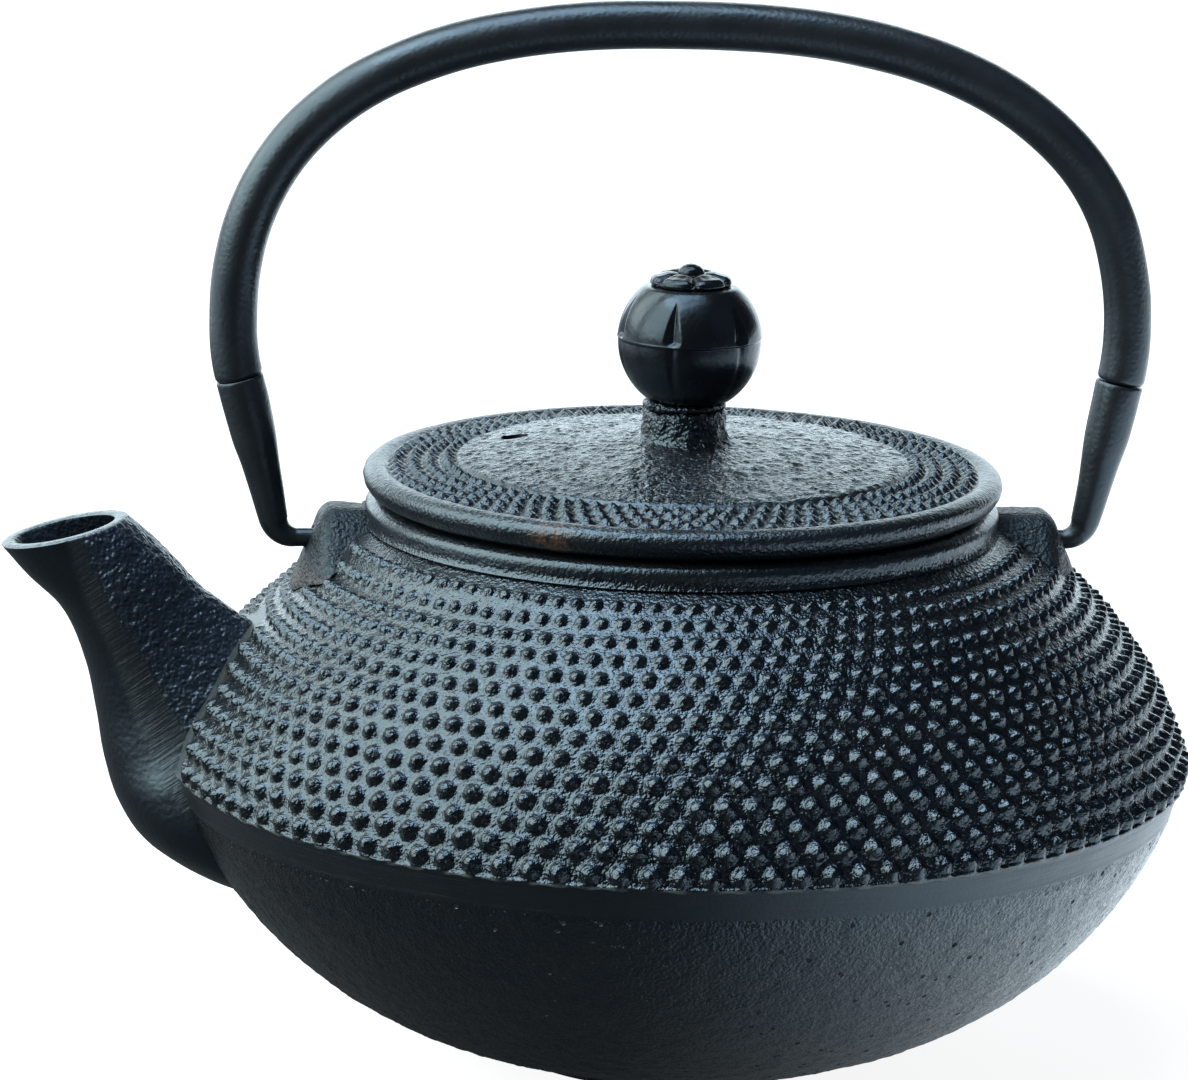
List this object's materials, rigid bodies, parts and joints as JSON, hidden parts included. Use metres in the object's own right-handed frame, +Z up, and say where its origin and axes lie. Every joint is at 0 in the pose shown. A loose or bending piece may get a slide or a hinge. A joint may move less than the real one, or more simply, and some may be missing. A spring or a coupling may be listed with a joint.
{
  "type": "cast iron teapot",
  "caption": "Round hobnail cast iron teapot with an upward spout, loose lid with ball knob, swinging bail handle and a lift-out strainer basket.",
  "frame": {"origin": "centre of the flat base on the surface that the teapot stands on", "axes": "+Z up, spout along -X, handle hinge line along X"},
  "size_m": [0.165, 0.142, 0.147],
  "materials": {
    "cast_iron": "matt black coating over sand-cast iron",
    "handle_paint": "satin black enamel paint",
    "knob_gloss": "gloss black enamel paint",
    "screw_steel": "zinc-plated steel",
    "stainless": "stainless steel"
  },
  "bodies": {
    "kettle": {"kettle_body": "cast_iron", "spout": "cast_iron", "lug_front": "cast_iron", "lug_rear": "cast_iron"},
    "handle": {"handle_arch": "handle_paint", "handle_end_front": "handle_paint", "handle_end_rear": "handle_paint"},
    "lid": {"lid": "cast_iron", "knob_collar": "handle_paint", "knob": "knob_gloss", "knob_rosette": "knob_gloss", "knob_screw": "screw_steel", "knob_washer": "screw_steel"},
    "infuser": {"infuser_rim": "stainless", "infuser_wall": "stainless", "infuser_base_band": "stainless", "infuser_base": "stainless"}
  },
  "joints": [
    {"name": "handle_swing", "type": "hinge", "parent": "kettle", "child": "handle", "pos_m": [0, 0, 0.0724], "axis": [1, 0, 0], "range_deg": [-100, 100]},
    {"name": "lid_lift", "type": "slide", "parent": "kettle", "child": "lid", "axis": [0, 0, 1], "range_m": [0, 0.026]},
    {"name": "infuser_lift", "type": "slide", "parent": "kettle", "child": "infuser", "axis": [0, 0, 1], "range_m": [0, 0.013]}
  ],
  "couplings": [
    {"joint": "infuser_lift", "follows": "lid_lift", "ratio": 0.5}
  ]
}
